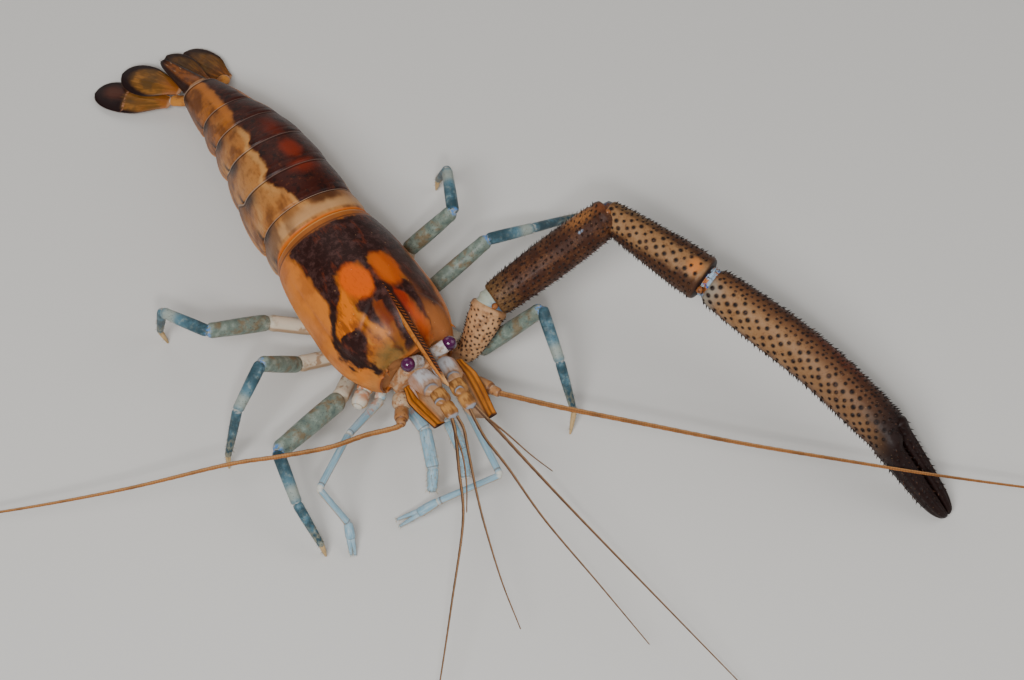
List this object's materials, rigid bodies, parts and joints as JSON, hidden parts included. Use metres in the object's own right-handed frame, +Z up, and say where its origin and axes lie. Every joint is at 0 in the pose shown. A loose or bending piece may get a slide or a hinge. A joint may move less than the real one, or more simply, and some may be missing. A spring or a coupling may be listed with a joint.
{
  "type": "river shrimp model",
  "caption": "Life-size river shrimp standing with its long spiny left claw held forward, ringed abdomen, fan tail, walking legs and long feelers.",
  "frame": {"origin": "centre of the whole footprint, feelers included, on the floor that the feet and the claw stand on", "axes": "+Z up, the head points along -Y, the animal's left side is +X, where the big claw reaches forward"},
  "size_m": [0.4184, 0.3648, 0.0486],
  "materials": {
    "shell_dark": "wet shell, dark maroon brown with tan sides",
    "feeler_orange": "ringed feeler, orange brown",
    "shell_tan": "wet shell, orange tan with dark saddle",
    "claw_brown": "rough spiny shell, brown with dark dots",
    "joint_white": "pale joint skin and shell",
    "eye_dark": "polished dark purple eye",
    "leg_pale_blue": "smooth leg shell, pale blue",
    "leg_teal": "smooth leg shell, greenish blue",
    "fan_olive": "thin horny blade, olive orange with dark rim"
  },
  "bodies": {
    "root": {"abdomen_1": "shell_dark", "abdomen_2": "shell_dark", "abdomen_3": "shell_dark", "abdomen_4": "shell_dark", "abdomen_5": "shell_dark", "abdomen_6": "shell_dark", "antenna_flagellum_L": "feeler_orange", "antenna_flagellum_R": "feeler_orange", "antenna_peduncle_L": "feeler_orange", "antenna_peduncle_R": "feeler_orange", "antenna_scale_L": "feeler_orange", "antenna_scale_R": "feeler_orange", "antennule_inner_L": "feeler_orange", "antennule_inner_R": "feeler_orange", "antennule_outer_L": "feeler_orange", "antennule_outer_R": "feeler_orange", "antennule_peduncle_L": "feeler_orange", "antennule_peduncle_R": "feeler_orange", "carapace": "shell_tan", "claw_carpus": "claw_brown", "claw_finger": "claw_brown", "claw_ischium": "joint_white", "claw_merus": "claw_brown", "claw_palm": "claw_brown", "claw_stump_R": "joint_white", "eye_L": "eye_dark", "eye_R": "eye_dark", "eyestalk_L": "joint_white", "eyestalk_R": "joint_white", "head_front": "shell_tan", "leg_1_lower_L": "leg_pale_blue", "leg_1_lower_R": "leg_pale_blue", "leg_1_upper_L": "leg_pale_blue", "leg_1_upper_R": "leg_pale_blue", "leg_3_lower_L": "leg_teal", "leg_3_lower_R": "leg_teal", "leg_3_upper_L": "leg_teal", "leg_3_upper_R": "leg_teal", "leg_4_lower_L": "leg_teal", "leg_4_lower_R": "leg_teal", "leg_4_upper_L": "leg_teal", "leg_4_upper_R": "leg_teal", "leg_5_lower_L": "leg_teal", "leg_5_lower_R": "leg_teal", "leg_5_upper_L": "leg_teal", "leg_5_upper_R": "leg_teal", "maxilliped_L": "leg_pale_blue", "maxilliped_R": "leg_pale_blue", "telson": "shell_dark", "thorax": "joint_white", "uropod_base_L": "shell_tan", "uropod_base_R": "shell_tan", "uropod_endopod_L": "fan_olive", "uropod_endopod_R": "fan_olive", "uropod_exopod_L": "fan_olive", "uropod_exopod_R": "fan_olive"}
  },
  "joints": []
}
